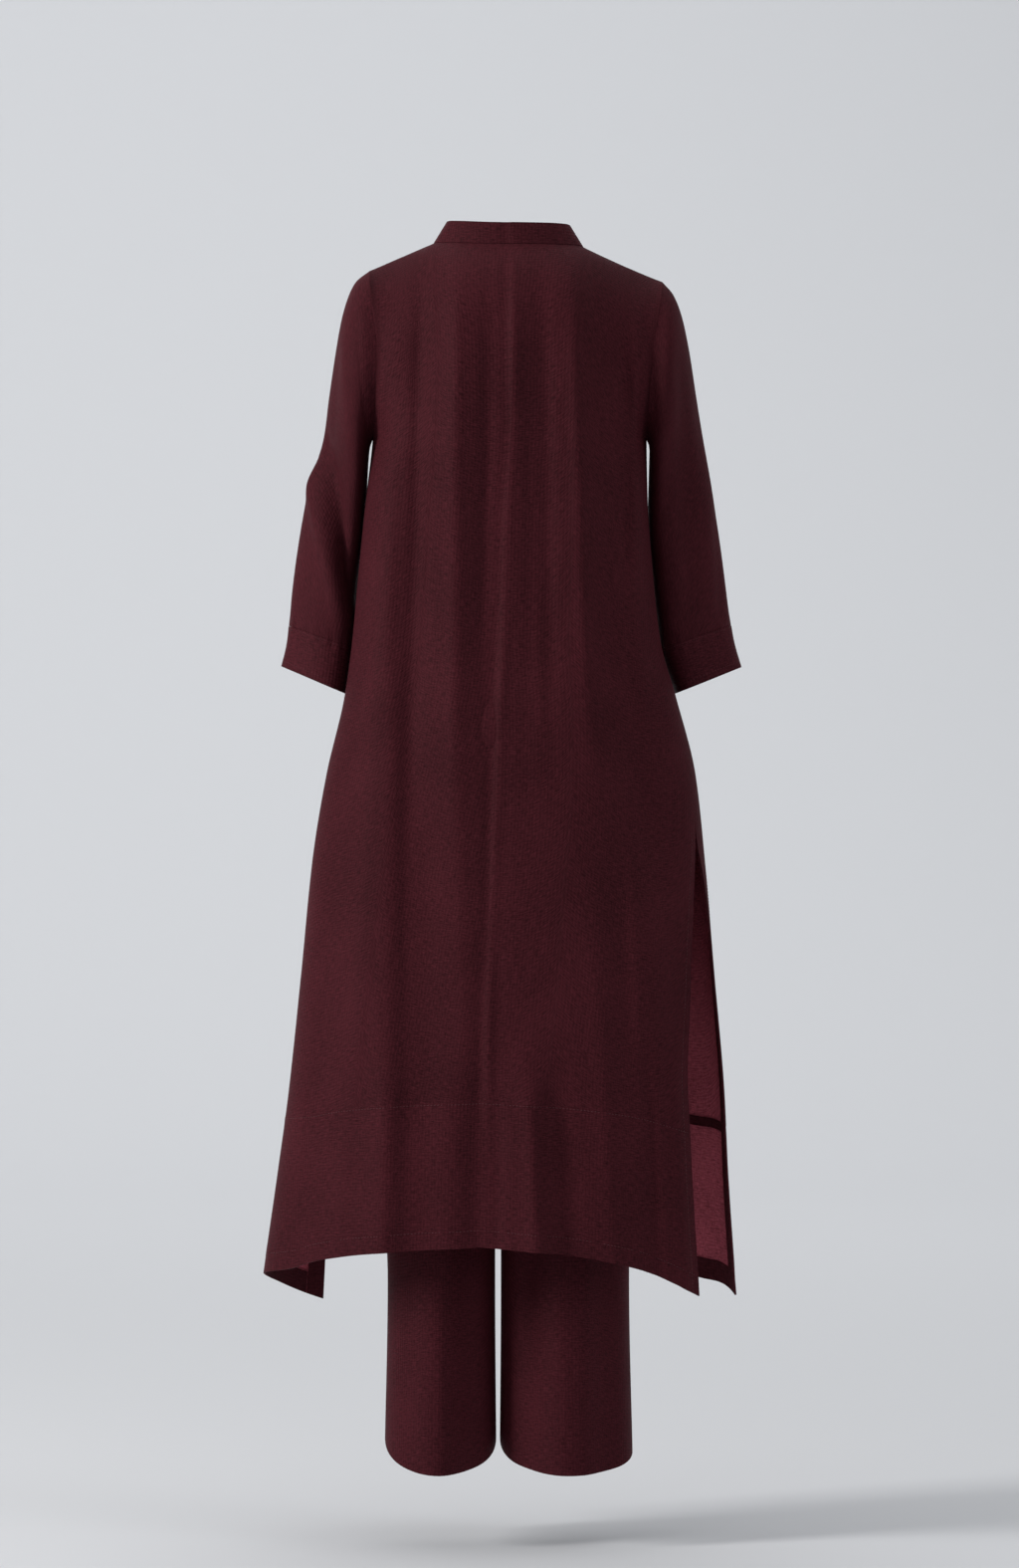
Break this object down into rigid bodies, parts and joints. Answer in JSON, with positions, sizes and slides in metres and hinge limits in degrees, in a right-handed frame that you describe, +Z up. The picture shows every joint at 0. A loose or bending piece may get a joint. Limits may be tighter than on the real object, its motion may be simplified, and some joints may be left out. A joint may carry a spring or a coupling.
{
  "type": "kaftan set",
  "caption": "Collared A-line kaftan with long sleeves, deep hem band and side slits, worn over straight wide-legged trousers.",
  "frame": {"origin": "middle of the neck opening at the foot of the collar, where the garment hangs from the wearer's shoulders", "axes": "+Z up, +Y the way the wearer faces, +X the wearer's right side as the garment is seen from behind"},
  "size_m": [0.578, 0.329, 1.5011],
  "materials": {
    "kaftan_cloth": "plain weave with a soft sheen, wine red",
    "turned_cloth": "the same cloth, turned in",
    "trouser_cloth": "the same cloth as the kaftan"
  },
  "bodies": {
    "root": {"back_left": "kaftan_cloth", "back_right": "kaftan_cloth", "front": "kaftan_cloth", "hem_band_back": "kaftan_cloth", "hem_band_front": "kaftan_cloth", "sleeve_left": "kaftan_cloth", "sleeve_right": "kaftan_cloth", "cuff_left": "kaftan_cloth", "cuff_right": "kaftan_cloth", "collar": "kaftan_cloth", "slit_turning_front_right": "turned_cloth", "slit_turning_back_right": "turned_cloth", "slit_turning_front_left": "turned_cloth", "slit_turning_back_left": "turned_cloth", "hem_turning_back": "turned_cloth", "hem_turning_front": "turned_cloth", "band_seam_front": "turned_cloth", "trouser_back_left": "trouser_cloth", "trouser_back_right": "trouser_cloth", "trouser_front_left": "trouser_cloth", "trouser_front_right": "trouser_cloth", "waistband": "trouser_cloth"}
  },
  "joints": []
}
